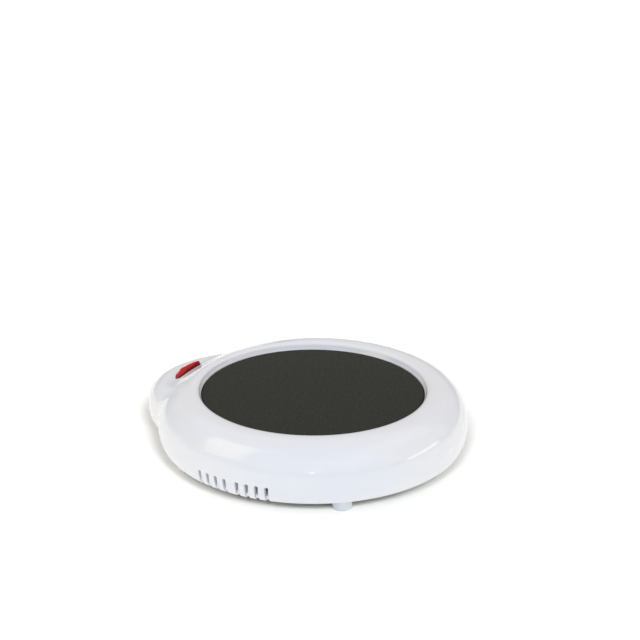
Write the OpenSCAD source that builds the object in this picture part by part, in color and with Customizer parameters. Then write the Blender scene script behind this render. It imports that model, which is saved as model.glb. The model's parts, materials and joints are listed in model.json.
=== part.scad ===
/* [Body] */
// Largest radius of the round body
body_r = 63; // [62:0.5:65]
// Height of the warming plate's top above the table
plate_z = 24.8; // [24:0.1:26]
// Height of the shell's crown above the plate
crown_h = 2.65; // [2.2:0.05:3]
// Radius of the crown's ridge line
crown_r = 49.7; // [49.3:0.1:50.3]
// Radius of the lip that frames the plate
lip_r = 46.1; // [45.8:0.1:46.6]
// Height of the widest line below the plate
belt_drop = 12; // [11:0.25:13]
// Fullness of the upper side (2 is an ellipse)
side_power = 2.2; // [2:0.05:2.5]
// How far the bottom edge tucks in under the widest line
tuck = 2.7; // [2.2:0.1:3.2]
// Height of the shell's bottom edge above the table
edge_z = 5.4; // [5:0.1:5.8]
// Wall thickness of the shell
wall = 2; // [1.8:0.1:2.2]

/* [Lobe] */
// Distance from the plate's axis to the lobe's centre
lobe_y = 41.25; // [40.5:0.25:41.5]
// Radius of the lobe
lobe_r = 32; // [31.6:0.1:32.6]
// Fillet radius where the lobe meets the round body
lobe_fillet = 11.5; // [9:0.5:12]
// Slope of the lobe's top next to the crown, rise over run
near_slope = 0.52; // [0.5:0.005:0.54]
// Slope of the lobe's top beyond the switch
lobe_slope = 0.08; // [0.07:0.005:0.11]
// Width of the lobe's shoulder against the round body's
lobe_shoulder = 0.54; // [0.5:0.02:0.62]

/* [Vents] */
// Width of one vent slot
vent_w = 1.4; // [1.2:0.1:1.6]
// Height of the slots' top above the table
vent_top = 11.8; // [10:0.1:12]
// Angle of the vent comb's middle from the lobe
vent_mid = 87; // [86:0.2:92]
// Angle between neighbouring slots
vent_pitch = 3.7; // [3.5:0.1:3.9]

/* [Switch] */
// Length of the rocker's straight inner edge
rocker_len = 19.8; // [19:0.2:20.4]
// Width of the rocker from its straight edge to its curved edge
rocker_w = 4.1; // [3.9:0.1:4.3]
// Distance of the rocker's straight edge from the plate's axis
rocker_y = 58.4; // [58.2:0.1:58.6]
// Tilt of the rocker either side of level
rocker_tilt = 5; // [4:0.5:5.5]
// Tilt of the contact arm either side of level
arm_tilt = 3.75; // [3:0.25:4]

/* [Feet and inlet] */
// Diameter of a foot
foot_d = 7.5; // [6.5:0.1:7.6]
// Distance of the feet from the plate's axis
foot_r = 54.3; // [53:0.1:54.3]
// Radius of the hole in the cord gland
inlet_r = 3.2; // [2.8:0.1:3.4]

/* [Hidden] */
$fn = 64;

white = [0.93, 0.93, 0.95];
steel = [0.72, 0.73, 0.75];
brass = [0.80, 0.66, 0.34];
// the body's box is centred on the origin, so the plate's axis stands off it
shift_y = -(lobe_y + lobe_r - body_r) / 2;
module place() translate([0, shift_y, 0]) children();

belt_z = plate_z - belt_drop;
crown_z = plate_z + crown_h;
side_w = body_r - crown_r;
rise = crown_z - belt_z;
lip_z = plate_z + 1.3;
ledge_z = plate_z - 0.2;
ledge_r = 45.3;

// fillet circle between the body's circle and the lobe's
fa = body_r + lobe_fillet;
fb = lobe_r + lobe_fillet;
fx = (fa * fa - fb * fb + lobe_y * lobe_y) / (2 * lobe_y);
fy = sqrt(fa * fa - fx * fx);
A1 = atan2(fy, fx);
B1 = atan2(fy, fx - lobe_y);
NL = 10;
NF = 5;
NM = 66;
NP = 2 * NL + 2 * NF + NM;
// how much a place belongs to the round body: 0 on the lobe's axis, 1 well round the side
function share(x, y) = let (t = min(max((atan2(abs(x), y) - 5) / 70, 0), 1)) t * t * (3 - 2 * t);
// n points on an arc, each with its inward direction (s is its sign) and its share of the round body
function arc(c, r, s, a0, a1, n) = [for (k = [0:n - 1]) let (a = a0 + (a1 - a0) * k / n, x = c[0] + r * cos(a), y = c[1] + r * sin(a))
    [x, y, s * cos(a), s * sin(a), share(x, y)]];
// the widest outline, lobe towards +Y
cols = concat(
    arc([0, lobe_y], lobe_r, -1, 90, 90 + B1, NL),
    arc([-fy, fx], lobe_fillet, 1, 270 + B1, 270 + A1, NF),
    arc([0, 0], body_r, -1, 90 + A1, 450 - A1, NM),
    arc([fy, fx], lobe_fillet, 1, 270 - A1, 270 - B1, NF),
    arc([0, lobe_y], lobe_r, -1, 450 - B1, 450, NL));
// the outline moved inward, by i on the round body and by j on the lobe
function outline(i, j) = [for (c = cols) let (q = j + (i - j) * c[4]) [c[0] + c[2] * q, c[1] + c[3] * q]];
function ramp(y, c, w) = y < c - w ? 0 : y < c + w ? (y - c + w) * (y - c + w) / (4 * w) : y - c;
// how far the lobe's top lies under the crown's height at distance r from the plate's axis
function drop(r) = near_slope * ramp(r, 48.6, 2.5) - (near_slope - lobe_slope) * ramp(r, 58.7, 3);
function lift(xy, z, f) = [for (k = [0:NP - 1]) [xy[k][0], xy[k][1], z - drop(norm(xy[k])) * (1 - cols[k][4]) * f]];
function ring(i, z) = lift(outline(i, i), z, 0);
flat_i = 12 / 13.3 * side_w;
flat_xy = outline(flat_i, flat_i * lobe_shoulder);
// points at radius r on the same spokes as the outline's points
spokes = [for (p = flat_xy) atan2(p[1], p[0])];
function round_xy(r) = [for (a = spokes) [r * cos(a), r * sin(a)]];
function hoop(r, z) = lift(round_xy(r), z, (z - belt_z) / rise);
// the same at one height all round
function flat_hoop(r, z) = lift(round_xy(r), z, 0);
function between(a, b, s, z) = lift([for (k = [0:NP - 1]) a[k] * (1 - s) + b[k] * s], z, 1);
function up_i(t) = side_w * (1 - pow(cos(t), 2 / side_power));
function up_z(t) = belt_z + rise * pow(sin(t), 2 / side_power);
function up_f(t) = (up_z(t) - belt_z) / rise;
function up_ring(t) = lift(outline(up_i(t), up_i(t) * lobe_shoulder), up_z(t), up_f(t));
function nr(t) = pow(cos(t), 2 - 2 / side_power) / side_w;
function nz(t) = pow(sin(t), 2 - 2 / side_power) / rise;
// how far the inside stands in from the outside, for a side that is k times as wide
function in_by(t, k) = wall * nr(t) / k / norm([nr(t) / k, nz(t)]);
function in_xy(t) = outline(up_i(t) + in_by(t, 1), up_i(t) * lobe_shoulder + in_by(t, lobe_shoulder));
function in_ring(t) = lift(in_xy(t), up_z(t) - wall * nz(t) / norm([nr(t), nz(t)]), up_f(t));
t_flat = acos(pow(1 - flat_i / side_w, side_power / 2));
outer_rings = concat(
    [for (t = [90, 60, 30]) ring(tuck * (1 - cos(t)), belt_z - (belt_z - edge_z) * sin(t))],
    [for (t = [0, 12, 24, 36, 48, 60, 70, 79, t_flat]) up_ring(t)],
    [for (s = [0.2, 0.4, 0.6, 0.8, 1]) between(flat_xy, round_xy(crown_r), s, crown_z)],
    [for (s = [30, 60, 90]) hoop(crown_r - (crown_r - lip_r) * sin(s), crown_z - (crown_z - lip_z) * (1 - cos(s)))],
    [hoop(ledge_r, ledge_z)]);
inner_rings = concat(
    [flat_hoop(49, ledge_z)],
    [for (s = [0, 0.25, 0.5, 0.75]) between(round_xy(49.5), in_xy(t_flat), s, crown_z - wall)],
    [for (t = [t_flat, 75, 60, 42, 22, 0]) in_ring(t)],
    [ring(wall + tuck * 0.3, belt_z - (belt_z - edge_z) * 0.6), ring(wall + tuck, edge_z)]);

// a closed skin through a loop of rings
module skin(rings) {
    n = len(rings[0]);
    m = len(rings);
    pts = [for (r = rings) each r];
    polyhedron(pts, [for (j = [0:m - 1], k = [0:n - 1]) let (a = j * n + k, b = j * n + (k + 1) % n,
        c = ((j + 1) % m) * n + (k + 1) % n, d = ((j + 1) % m) * n + k) each [[a, d, c], [a, c, b]]]);
}
// a solid stack of rings with flat ends
module stack(rings) {
    n = len(rings[0]);
    m = len(rings);
    pts = [for (r = rings) each r];
    polyhedron(pts, concat([[for (k = [0:n - 1]) k]], [for (j = [0:m - 2], k = [0:n - 1]) let (a = j * n + k,
        b = j * n + (k + 1) % n, c = (j + 1) * n + (k + 1) % n, d = (j + 1) * n + k) each [[a, d, c], [a, c, b]]],
        [[for (k = [n - 1:-1:0]) (m - 1) * n + k]]));
}
module turn(a) rotate([0, 0, a]) children();
module tube_z(r1, r2, z0, z1) translate([0, 0, z0]) difference() {
    cylinder(r = r1, h = z1 - z0);
    translate([0, 0, -1]) cylinder(r = r2, h = z1 - z0 + 2);
}
module rod_z(r, z0, z1) translate([0, 0, z0]) cylinder(r = r, h = z1 - z0);
module rod_x(r, x0, x1) translate([x0, 0, 0]) rotate([0, 90, 0]) cylinder(r = r, h = x1 - x0);
module rod_y(r, y0, y1) translate([0, y0, 0]) rotate([-90, 0, 0]) cylinder(r = r, h = y1 - y0);

// heights
base_z0 = 4.6;
base_z1 = 6.8;
base_in = 4.9;
tooth_in = 0.5;
// outer radius of the round body at height z under its widest line
function side_r(z) = body_r - tuck * (1 - sqrt(1 - pow((belt_z - z) / (belt_z - edge_z), 2)));
stud_r = 25;
stud_a = [90, 210, 330];
ear_r = 52;
ear_a = [270, 30, 150];
boss_r = 53.5;
boss_a = [60, 120, 240, 300];
foot_a = [40, 140, 218.3, 321.7];
vent_a = [for (s = [-1, 1], g = [-1, 1], k = [-1.5, -0.5, 0.5, 1.5]) 90 + s * (vent_mid + g * (vent_pitch * 2 + 0.65) + k * vent_pitch)];

// ---- switch geometry: the rocker turns about a line along Y
pivot_z = plate_z - 7;
switch_y = rocker_y + rocker_w / 2;
frame_y = rocker_y + 1;
near_h = crown_z - drop(rocker_y) - pivot_z;
rocker_r = (rocker_len * rocker_len / 4 + rocker_w * rocker_w) / (2 * rocker_w);
function half_v(u) = sqrt(max(0, rocker_r * rocker_r - pow(u + rocker_r - rocker_w, 2)));
function skin_h(u) = crown_z - drop(rocker_y + u) - pivot_z;
function cap_r(u) = norm([half_v(u), skin_h(u)]);
cap_u = [for (k = [0:12]) rocker_w * sin(k * 7.5)];
cap_proud = 1.25;
cap_lean = atan((skin_h(0) - skin_h(rocker_w)) / rocker_w);
module at_pivot() translate([0, rocker_y, pivot_z]) children();
// the rocker's outside: turned about the pivot line, so its gap in the window never changes
module cap_turned(gap) at_pivot() rotate([-90, 0, 0]) rotate_extrude($fn = 96)
    polygon(concat([[0, -gap]], gap > 0 ? [[cap_r(0) + gap, -gap]] : [],
        [for (u = cap_u) [cap_r(u) + gap * half_v(u) / rocker_r, u + gap * (u + rocker_r - rocker_w) / rocker_r]], [[0, rocker_w + gap]]));
module tilted(a) translate([0, 0, pivot_z]) rotate([0, a, 0]) translate([0, 0, -pivot_z]) children();

module top_shell() color(white) place() {
    difference() {
        union() {
            skin(concat(outer_rings, inner_rings));
            for (a = boss_a) turn(a) translate([boss_r, 0, 0]) rod_z(3.25, base_z1 + 0.1, plate_z - 1.1);
            for (a = ear_a) turn(a) translate([ear_r, 0, 0]) rod_z(3, plate_z - 4.6, plate_z + 0.6);
            for (s = [-1, 1]) translate([s * 16.2, frame_y, 0]) rod_z(2.7, pivot_z - 2.2, pivot_z + 3.6);
        }
        for (a = boss_a) turn(a) translate([boss_r, 0, 0]) rod_z(1.3, base_z1, 17);
        for (a = ear_a) turn(a) translate([ear_r, 0, 0]) rod_z(1.25, plate_z - 5, plate_z - 0.8);
        for (s = [-1, 1]) translate([s * 16.2, frame_y, 0]) rod_z(1.05, pivot_z - 3, pivot_z + 2.6);
        for (a = vent_a) turn(a) translate([54.4, -vent_w / 2, edge_z - 1]) cube([12, vent_w, vent_top - edge_z + 1]);
        intersection() {
            cap_turned(0.38);
            translate([-15, rocker_y - 1, pivot_z + 2]) cube([30, 8, 12]);
        }
        translate([0, 67, 0]) rotate([-90, 0, 0]) linear_extrude(10)
            polygon([[-4.9, 0], [-4.9, -13.2], [-3.1, -15], [3.1, -15], [4.9, -13.2], [4.9, 0]]);
    }
}
module base_cover() color(white) place() difference() {
    union() {
        stack([ring(base_in + 0.7, base_z0), ring(base_in, base_z0 + 0.7), ring(base_in, base_z1)]);
        // low rim behind the vents
        difference() {
            tube_z(body_r - base_in - 0.2, body_r - base_in - 1.1, base_z1 - 0.5, base_z1 + 1.4);
            translate([-70, 34, base_z1 - 1]) cube([140, 40, 5]);
        }
        // teeth that stand in the vents' lower ends
        for (a = vent_a) turn(a) translate([0, vent_w / 2 - 0.1, 0]) rotate([90, 0, 0]) linear_extrude(vent_w - 0.2)
            polygon([[body_r - 6, base_z1 - 0.5], [side_r(6.3) - tooth_in, 6.3], [side_r(7.1) - tooth_in, 7.1], [side_r(7.8) - tooth_in - 0.3, 7.8], [body_r - 4.6, 9.9], [body_r - 6, 9.9]]);
        for (a = foot_a) turn(a) translate([foot_r, 0, 0]) rod_z(foot_d / 2 - 0.1, base_z0, base_z0 + 1);
        for (x = [-9, 0, 9]) translate([x - 0.8, -44, base_z1 - 0.1]) cube([1.6, 84, 1.5]);
        for (y = [-22, 0, 22]) translate([-44, y - 0.8, base_z1 - 0.1]) cube([88, 1.6, 1.5]);
    }
    for (a = boss_a) turn(a) translate([boss_r, 0, 0]) {
        rod_z(1.7, base_z0 - 1, base_z1 + 1);
        rod_z(3, base_z0 - 1, base_z0 + 1.1);
    }
    for (a = foot_a) turn(a) translate([foot_r, 0, 0]) rod_z(2.05, base_z0 - 1, base_z1 + 1);
    for (x = [-18:4:18]) translate([x - 1, -16, base_z0 - 1]) cube([2, 9, 3.4]);
}
module heater_plate() color([0.17, 0.17, 0.15]) place() rotate_extrude($fn = 128)
    polygon([[0, plate_z - 1.4], [43.6, plate_z - 1.4], [43.6, plate_z - 2.5], [48.6, plate_z - 2.5], [48.6, plate_z - 1.1],
        [45, plate_z - 1.1], [45, plate_z - 0.35], [44.65, plate_z], [0, plate_z]]);
module plate_gasket() color([0.82, 0.80, 0.76]) place() rotate_extrude($fn = 128)
    polygon([[45.5, plate_z - 1.1], [48.6, plate_z - 1.1], [48.6, ledge_z], [47.4, ledge_z], [47.4, ledge_z - 0.25], [46.7, ledge_z - 0.25], [46.7, ledge_z], [45.5, ledge_z]]);
mica_z0 = plate_z - 2.2;
pad_z0 = mica_z0 - 2.4;
clamp_z0 = pad_z0 - 0.8;
tab_p = [[-9, 33], [9, 33]];
module sheet_disc(r, z0, z1, hole) difference() {
    rod_z(r, z0, z1);
    for (a = stud_a) turn(a) translate([stud_r, 0, 0]) rod_z(1.7, z0 - 1, z1 + 1);
    if (hole > 0) for (p = tab_p) translate([p[0], p[1], 0]) rod_z(hole, z0 - 1, z1 + 1);
}
module mica_heater() color([0.72, 0.62, 0.42]) place() sheet_disc(42, mica_z0, plate_z - 1.4, 1.3);
module heater_tabs() color(brass) place() for (p = tab_p) translate([p[0], p[1], 0]) {
    rod_z(1.2, mica_z0 - 0.6, plate_z - 1.5);
    rod_z(2.4, mica_z0 - 0.6, mica_z0);
    translate([-1.2, -1.6, mica_z0 - 4.6]) cube([2.4, 0.6, 4.2]);
}
module insulation_pad() color([0.90, 0.89, 0.84]) place() sheet_disc(42, pad_z0, mica_z0, 3.2);
module clamp_plate() color(steel) place() difference() {
    union() {
        rod_z(43, clamp_z0, pad_z0);
        for (a = ear_a) turn(a) {
            translate([36, -4.5, clamp_z0]) cube([ear_r - 36, 9, 0.8]);
            translate([ear_r, 0, 0]) rod_z(4.5, clamp_z0, pad_z0);
        }
    }
    for (a = stud_a) turn(a) translate([stud_r, 0, 0]) rod_z(1.7, clamp_z0 - 1, pad_z0 + 1);
    for (a = ear_a) turn(a) translate([ear_r, 0, 0]) rod_z(1.6, clamp_z0 - 1, pad_z0 + 1);
    for (p = tab_p) translate([p[0], p[1], 0]) rod_z(3.2, clamp_z0 - 1, pad_z0 + 1);
    rod_z(4, clamp_z0 - 1, pad_z0 + 1);
    for (a = [30, 150]) turn(a) translate([14, -3, clamp_z0 - 1]) cube([16, 6, 3]);
}
module plate_studs() color(steel) place() for (a = stud_a) turn(a) translate([stud_r, 0, 0]) rod_z(1.5, clamp_z0 - 3.4, plate_z - 1.4);
module stud_nuts() color(steel) place() for (a = stud_a) turn(a) translate([stud_r, 0, 0]) difference() {
    union() {
        translate([0, 0, clamp_z0 - 2.6]) cylinder(r = 3.1, h = 2.1, $fn = 6);
        rod_z(3.4, clamp_z0 - 0.5, clamp_z0);
    }
    rod_z(1.52, clamp_z0 - 4, clamp_z0 + 1);
}
// a pan-head screw seen from its head, head's underside at z = 0, shank upward
module screw(head_r, head_h, shank_r, len) difference() {
    union() {
        translate([0, 0, -head_h]) cylinder(r1 = head_r - 0.5, r2 = head_r, h = 0.5);
        translate([0, 0, 0.5 - head_h]) cylinder(r = head_r, h = head_h - 0.5);
        cylinder(r = shank_r, h = len - 1);
        translate([0, 0, len - 1]) cylinder(r1 = shank_r, r2 = shank_r * 0.4, h = 1);
    }
    for (a = [0, 90]) rotate([0, 0, a]) translate([-head_r * 0.6, -0.3, -head_h - 1]) cube([head_r * 1.2, 0.6, 1.6]);
}
module clamp_screws() color(steel) place() for (a = ear_a) turn(a) translate([ear_r, 0, clamp_z0]) screw(2.7, 1.8, 1.22, 4.6);
module base_screws() color(steel) place() for (a = boss_a) turn(a) translate([boss_r, 0, base_z0 + 1.1]) screw(2.6, 1, 1.27, 10.5);
module rubber_feet() color([0.90, 0.90, 0.92]) place() for (a = foot_a) turn(a) translate([foot_r, 0, 0]) rotate_extrude()
    polygon([[0, 0], [foot_d / 2 - 1.3, 0], [foot_d / 2 - 0.65, 0.17], [foot_d / 2 - 0.17, 0.65], [foot_d / 2, 1.3], [foot_d / 2, base_z0], [2, base_z0], [2, base_z1],
        [2.8, base_z1], [2.6, base_z1 + 0.6], [1.6, base_z1 + 1.6], [0, base_z1 + 1.6]]);

// ---- thermal cut-off, lying under the clamp plate along X
cut_y = -31;
cut_z = clamp_z0 - 3;
module at_cut() translate([0, cut_y, cut_z]) children();
module thermal_cutoff() color([0.78, 0.70, 0.45]) place() at_cut() {
    rod_x(1.9, -5.5, 5.5);
    rod_x(0.5, -13, -5.5);
    rod_x(0.5, 5.5, 13);
    translate([5.5, 0, 0]) rod_x(1.2, 0, 1);
}
module cutoff_sleeve() color([0.90, 0.90, 0.86]) place() at_cut() difference() {
    rod_x(2.6, -10, 10);
    rod_x(1.95, -11, 11);
}
module cutoff_clip() color(steel) place() at_cut() difference() {
    union() {
        rod_x(3.1, -3, 3);
        translate([-3, -3.1, 0]) cube([6, 6.2, 3]);
        translate([-3, -8.4, 2.5]) cube([6, 16.8, 0.5]);
    }
    rod_x(2.65, -4, 4);
    translate([-4, -2.65, 0]) cube([8, 5.3, 4]);
}

// ---- switch
frame_z0 = pivot_z - 10.5;
floor_z = frame_z0 + 1.2;
frame_y0 = frame_y - 4.8;
frame_y1 = frame_y + 4.8;
arm_z = pivot_z - 6.65;
module switch_frame() color([0.90, 0.90, 0.91]) place() difference() {
    union() {
        translate([-13.6, frame_y0, frame_z0]) cube([27.2, 9.6, 8.3]);
        for (y = [frame_y0, frame_y1 - 1]) translate([-4.2, y, frame_z0]) cube([8.4, 1, 12.25]);
        for (s = [-1, 1]) translate([s * 16.1 - 3.2, frame_y - 3.2, pivot_z - 4.2]) cube([6.4, 6.4, 2]);
    }
    translate([-12.5, frame_y0 + 1, floor_z]) cube([25, 7.6, 20]);
    translate([0, 0, pivot_z]) rod_y(1.25, frame_y0 - 1, frame_y1 + 1);
    for (s = [-1, 1]) {
        translate([s * 16.2, frame_y, 0]) rod_z(1.3, pivot_z - 6, pivot_z);
        translate([s * 13 - 2, switch_y - 1.8, floor_z - 0.02]) cube([4, 3.6, 0.64]);
    }
    for (s = [-1, 1]) translate([-13, switch_y + s, floor_z + 3.4]) rod_x(0.45, -3, 3);
}
module switch_screws() color(steel) place() for (s = [-1, 1]) translate([s * 16.2, frame_y, pivot_z - 4.2]) screw(2.2, 1.3, 1.02, 6.4);
module rocker_cap() color([0.72, 0.05, 0.05]) place() tilted(-rocker_tilt) difference() {
    union() {
        intersection() {
            cap_turned(0);
            union() {
                translate([-14, rocker_y - 1, pivot_z - 1.4]) cube([28, 8, 4.8]);
                // top face: a wide cylinder that leans with the lobe's top
                translate([0, rocker_y, pivot_z + near_h + cap_proud]) rotate([-cap_lean, 0, 0]) translate([0, 0, -120]) rod_y(120, -2, 8);
            }
            translate([-14, rocker_y - 1, pivot_z - 1.4]) cube([28, 8, 14]);
        }
        translate([0, 0, pivot_z]) rod_y(1.2, frame_y0, frame_y1);
        translate([0, switch_y, 0]) rod_z(2.1, pivot_z - 4.2, pivot_z + 1);
    }
    for (s = [-1, 1]) translate([s * 5.6 - 3, rocker_y + 0.9, pivot_z - 2]) cube([6, 2.2, 5.2]);
    translate([0, switch_y, 0]) rod_z(1.35, pivot_z - 5, pivot_z + 3.6);
}
module rocker_plunger() color([0.88, 0.86, 0.80]) place() tilted(-rocker_tilt) translate([0, switch_y, 0]) {
    rod_z(1.3, pivot_z - 4.75, pivot_z - 1.6);
    translate([0, 0, pivot_z - 4.75]) sphere(r = 1.3);
}
spring_z0 = pivot_z - 1.55;
spring_z1 = pivot_z + 3.5;
function coil_p(t) = let (a = 360 * 6 * t) [0.95 * cos(a), 0.95 * sin(a), spring_z0 + 0.18 + (spring_z1 - spring_z0 - 0.36) * t];
module plunger_spring() color(steel) place() tilted(-rocker_tilt) translate([0, switch_y, 0])
    sweep([for (k = [0:72]) coil_p(k / 72)], 0.16, 6);
module contact_arm() color(brass) place() translate([0, switch_y, arm_z]) rotate([0, arm_tilt, 0]) {
    translate([-3.6, -1.7, 0]) cube([12, 3.4, 0.5]);
    translate([6.8, 0, -0.5]) cylinder(r = 1.3, h = 0.5);
}
module common_terminal() color(brass) place() {
    translate([-19.6, switch_y - 1.5, floor_z]) cube([21, 3, 0.6]);
    translate([0, switch_y + 1.7, 0]) rotate([90, 0, 0]) linear_extrude(3.4)
        polygon([[-1.2, floor_z + 0.5], [1.2, floor_z + 0.5], [0.35, arm_z - 0.12], [-0.35, arm_z - 0.12]]);
    translate([-1.4, switch_y - 2.4, floor_z]) cube([2.8, 4.8, 0.6]);
    for (s = [-1, 1]) translate([-1.4, switch_y + s * 2.2 - 0.2, floor_z]) cube([2.8, 0.4, arm_z - floor_z + 1]);
}
module load_terminal() color(brass) place() {
    translate([4.8, switch_y - 1.5, floor_z]) cube([14.8, 3, 0.6]);
    translate([6.8, switch_y, floor_z + 0.5]) cylinder(r = 1.3, h = 0.9);
}
lamp_x0 = -11.6;
module neon_lamp() color([0.95, 0.80, 0.70, 0.6]) place() translate([0, switch_y, floor_z + 3.4]) {
    rod_x(1.9, lamp_x0, -6.2);
    translate([-6.2, 0, 0]) sphere(r = 1.9);
    for (s = [-1, 1]) translate([0, s, 0]) rod_x(0.3, -14.4, lamp_x0 + 1);
}
res_p = [-9.4, 65.9, 10.2];
module lamp_resistor() color([0.80, 0.70, 0.52]) place() translate(res_p) {
    rod_x(1.1, -3, 3);
    rod_x(0.3, -5.5, 5.5);
    for (s = [-1, 1]) translate([s * 2.3, 0, 0]) rod_x(1.25, -0.7, 0.7);
}

// ---- cord gland: fills the notch at the lobe's end
inlet_z = 10.2;
gland_y0 = lobe_y + lobe_r - 6.6;
gland_y1 = lobe_y + lobe_r - 1.1;
module cord_gland() color([0.90, 0.90, 0.91]) place() difference() {
    union() {
        translate([-4, gland_y0 + 1, inlet_z - 3]) cube([8, 2, 6]);
        translate([0, gland_y0 + 2, 0]) rotate([-90, 0, 0]) linear_extrude(gland_y1 - gland_y0 - 2)
            polygon([[-4.8, -edge_z - 0.1], [-4.8, -13.15], [-3.05, -14.9], [3.05, -14.9], [4.8, -13.15], [4.8, -edge_z - 0.1]]);
        translate([0, gland_y0, 0]) rotate([-90, 0, 0]) linear_extrude(2)
            polygon([[-6.2, -base_z1 - 0.1], [-6.2, -13.9], [-3.9, -16.2], [3.9, -16.2], [6.2, -13.9], [6.2, -base_z1 - 0.1]]);
    }
    rotate([90, 0, 90]) translate([0, 0, -6]) linear_extrude(12)
        polygon([[gland_y1 - 2, edge_z - 1], [gland_y1 - 1.6, edge_z - 0.2], [gland_y1 + 0.1, edge_z + 1.9], [gland_y1 + 1, edge_z + 1.9], [gland_y1 + 1, edge_z - 1]]);
    translate([0, 0, inlet_z]) rod_y(inlet_r, gland_y0 - 1, gland_y1 + 1);
}

// ---- leads: smooth tubes through hand-set points
function unit(v) = v / norm(v);
function side_of(d) = unit(cross(d, abs(d[2]) > 0.95 * norm(d) ? [0, 1, 0] : [0, 0, 1]));
module sweep(p, r, n) {
    m = len(p);
    rings = [for (k = [0:m - 1]) let (d = unit(p[min(k + 1, m - 1)] - p[max(k - 1, 0)]), s = side_of(d), w = cross(d, s))
        [for (j = [0:n - 1]) p[k] + r * (cos(360 * j / n) * s + sin(360 * j / n) * w)]];
    stack(rings);
}
function cat(p, k, t) = let (a = p[max(k - 1, 0)], b = p[k], c = p[k + 1], d = p[min(k + 2, len(p) - 1)])
    0.5 * (2 * b + (c - a) * t + (2 * a - 5 * b + 4 * c - d) * t * t + (3 * b - a - 3 * c + d) * t * t * t);
function smooth(p, q) = concat([for (k = [0:len(p) - 2], t = [0:q - 1]) cat(p, k, t / q)], [p[len(p) - 1]]);
module heater_leads() color([0.86, 0.84, 0.78]) place() {
    sweep(smooth([[-9, 31.7, 18.6], [-9.2, 31.6, 17], [-10.6, 30.2, 15], [-16, 25, 13.6], [-25, 12, 13], [-27.6, -10, 13], [-22.5, -25, cut_z - 0.6], [-16.4, -30.4, cut_z], [-12.3, cut_y, cut_z]], 3), 0.95, 8);
    sweep(smooth([[12.3, cut_y, cut_z], [16.6, -30.4, cut_z], [23, -25, cut_z - 0.6], [31, -8, 13], [36, 14, 12.4], [37.2, 33, 12], [35.6, 40, 12], [32.4, 42.6, 11.8], [30.6, 41, 11.4], [30.4, 38.2, 11.4]], 3), 0.95, 8);
    sweep(smooth([[9, 31.7, 18.6], [9.2, 31.9, 17], [10.6, 33.8, 15], [15, 38, 13.6], [20, 45, 12], [22.8, 52, 9.6], [22, 57.8, 8.8], [19.1, switch_y, 8.8]], 3), 0.95, 8);
}
module supply_leads() color([0.16, 0.16, 0.17]) place() {
    sweep(smooth([[-19.1, switch_y, 8.8], [-21.6, 57.8, 8.8], [-21.8, 52, 9.6], [-21.4, 45.4, 11.2], [-23.4, 41.9, 11.7], [-27, 41, 11.7], [-29.4, 38.2, 11.7]], 3), 0.95, 8);
    sweep(smooth([[-4.3, res_p[1], res_p[2]], [4, 65.9, 10.6], [11, 65.7, 10.8], [16.9, 64.1, 10.8], [20.8, 59.8, 11.2], [21.2, 54, 12], [20.7, 49, 13.2], [21, 44.8, 14.2], [23.6, 41.6, 13.4], [27, 40.9, 12.4], [28.7, 38.2, 12]], 3), 0.5, 8);
    sweep(smooth([[-14, switch_y + 1, floor_z + 3.4], [-15.8, 62.8, 11.7], [-16.5, 64.8, 11], [-14.4, res_p[1], res_p[2]]], 3), 0.4, 8);
    sweep(smooth([[-14, switch_y - 1, floor_z + 3.4], [-15.9, 56.2, 11.3], [-15.4, 53.2, 10.2], [-11, 51.9, 9.5], [0, 51.6, 9.3], [12, 52, 9.1], [17, 54.6, 8.9], [18.2, 58.4, 8.8]], 3), 0.4, 8);
}
module splice_caps() color([0.85, 0.84, 0.80]) place() {
    for (s = [-1, 1]) translate([s * 29.6, 34.8, 11.6]) rotate([90, 0, 0]) splice();
}
module splice() translate([0, 0, -4.4]) rotate_extrude() polygon([[0, 0.8], [1.6, 0], [2.7, 0], [3.2, 0.8], [3.2, 6.2], [2.9, 8.8], [0, 8.8]]);

top_shell();
base_cover();
heater_plate();
plate_gasket();
mica_heater();
heater_tabs();
insulation_pad();
clamp_plate();
plate_studs();
stud_nuts();
clamp_screws();
base_screws();
rubber_feet();
thermal_cutoff();
cutoff_sleeve();
cutoff_clip();
switch_frame();
switch_screws();
rocker_cap();
rocker_plunger();
plunger_spring();
contact_arm();
common_terminal();
load_terminal();
neon_lamp();
lamp_resistor();
cord_gland();
heater_leads();
supply_leads();
splice_caps();
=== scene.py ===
import json
from math import acos, asin, atan2, cos, degrees, pi, radians, sin, sqrt
import bpy
import bmesh
import numpy as np
from mathutils import Matrix, Vector


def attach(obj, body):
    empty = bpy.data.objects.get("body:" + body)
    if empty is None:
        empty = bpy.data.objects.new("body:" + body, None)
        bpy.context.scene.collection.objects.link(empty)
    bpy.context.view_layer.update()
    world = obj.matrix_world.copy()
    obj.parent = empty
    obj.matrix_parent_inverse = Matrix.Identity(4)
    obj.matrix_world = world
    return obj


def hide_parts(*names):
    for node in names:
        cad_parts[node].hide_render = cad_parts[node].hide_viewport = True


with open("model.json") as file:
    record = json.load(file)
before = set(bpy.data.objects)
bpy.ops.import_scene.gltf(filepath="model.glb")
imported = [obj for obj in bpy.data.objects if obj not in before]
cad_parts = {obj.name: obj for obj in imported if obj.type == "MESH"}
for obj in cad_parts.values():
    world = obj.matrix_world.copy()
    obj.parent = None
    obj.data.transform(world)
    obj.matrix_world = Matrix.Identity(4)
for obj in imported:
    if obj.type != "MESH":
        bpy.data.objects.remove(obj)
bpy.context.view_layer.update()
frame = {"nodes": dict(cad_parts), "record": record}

MM = 0.001
scene = bpy.context.scene
nodes = frame["nodes"]

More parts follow.
